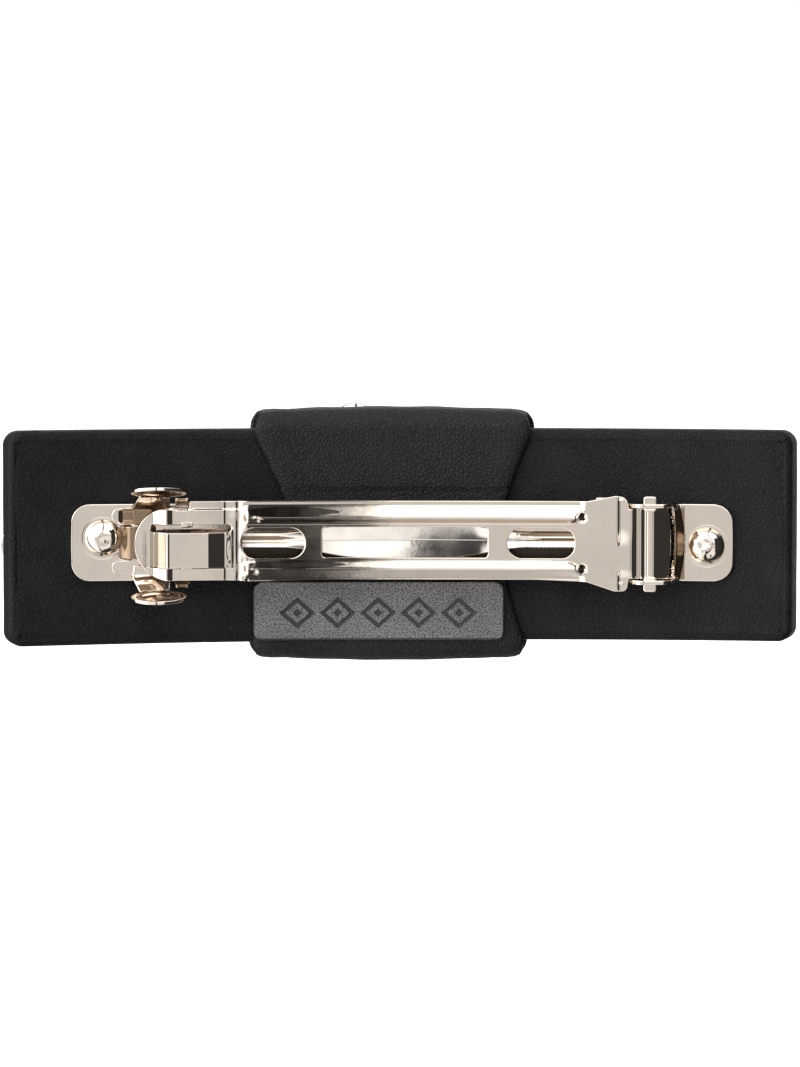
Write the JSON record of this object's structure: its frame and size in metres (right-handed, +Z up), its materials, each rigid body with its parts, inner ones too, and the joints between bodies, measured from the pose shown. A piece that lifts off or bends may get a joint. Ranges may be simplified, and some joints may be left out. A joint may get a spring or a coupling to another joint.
{
  "type": "spring barrette with leather bow",
  "caption": "Leather bow hair clip with a knotted wrap, carried on a riveted metal spring barrette whose hinged arm snaps into a squeeze latch.",
  "frame": {"origin": "middle of the hair grip, the gap between the tension bar's crown and the closed arm, on the clip's centre line", "axes": "+X along the bow from the latch end to the hinge end, +Y away from the head towards the decorated front, +Z up as the clip is worn"},
  "size_m": [0.0967, 0.0222, 0.0307],
  "materials": {
    "nickel": "bright nickel plate, polished",
    "stud_metal": "bright silver-coloured plate, polished",
    "band_leather": "fine-grained black leather, satin",
    "wrap_leather": "fine-grained black leather, soft satin",
    "patch_leather": "pored dark grey leather, matt, heat-debossed",
    "board": "dense fibre board",
    "foam": "thin soft foam"
  },
  "bodies": {
    "root": {"band_back_leather": "band_leather", "band_front_leather": "band_leather", "band_board": "board", "band_foam": "foam", "knot_wrap": "wrap_leather", "knot_padding": "foam", "label_patch": "patch_leather", "stud_knot": "stud_metal", "stud_end_large": "stud_metal", "stud_end_small": "stud_metal", "base_plate": "nickel", "latch_saddle": "nickel", "rivet_left": "nickel", "rivet_right": "nickel", "rivet_washer_left": "nickel", "rivet_washer_right": "nickel"},
    "arm": {"clasp_arm": "nickel"},
    "spring_bar": {"tension_bar": "nickel"},
    "lever_upper": {"latch_lever_upper": "nickel"},
    "lever_lower": {"latch_lever_lower": "nickel"}
  },
  "joints": [
    {"name": "arm_hinge", "type": "hinge", "parent": "root", "child": "arm", "pos_m": [0.03007, -0.00172, 0], "axis": [0, 0, 1], "range_deg": [0, 95]},
    {"name": "tension_bar_lift", "type": "hinge", "parent": "root", "child": "spring_bar", "pos_m": [0.0272, 0.00047, 0.00025], "axis": [0, 0, 1], "range_deg": [0, 1.5]},
    {"name": "latch_upper_squeeze", "type": "hinge", "parent": "root", "child": "lever_upper", "pos_m": [-0.0285, 0.00045, 0.003], "axis": [0.9941, 0.1083, 0], "range_deg": [0, 9], "stiffness_Nm_per_rad": 0.05},
    {"name": "latch_lower_squeeze", "type": "hinge", "parent": "root", "child": "lever_lower", "pos_m": [-0.0285, 0.00045, -0.003], "axis": [-0.9941, -0.1083, 0], "range_deg": [0, 9], "stiffness_Nm_per_rad": 0.05}
  ],
  "couplings": [
    {"joint": "tension_bar_lift", "follows": "arm_hinge", "ratio": 0.0157},
    {"joint": "latch_lower_squeeze", "follows": "latch_upper_squeeze", "ratio": 1}
  ]
}
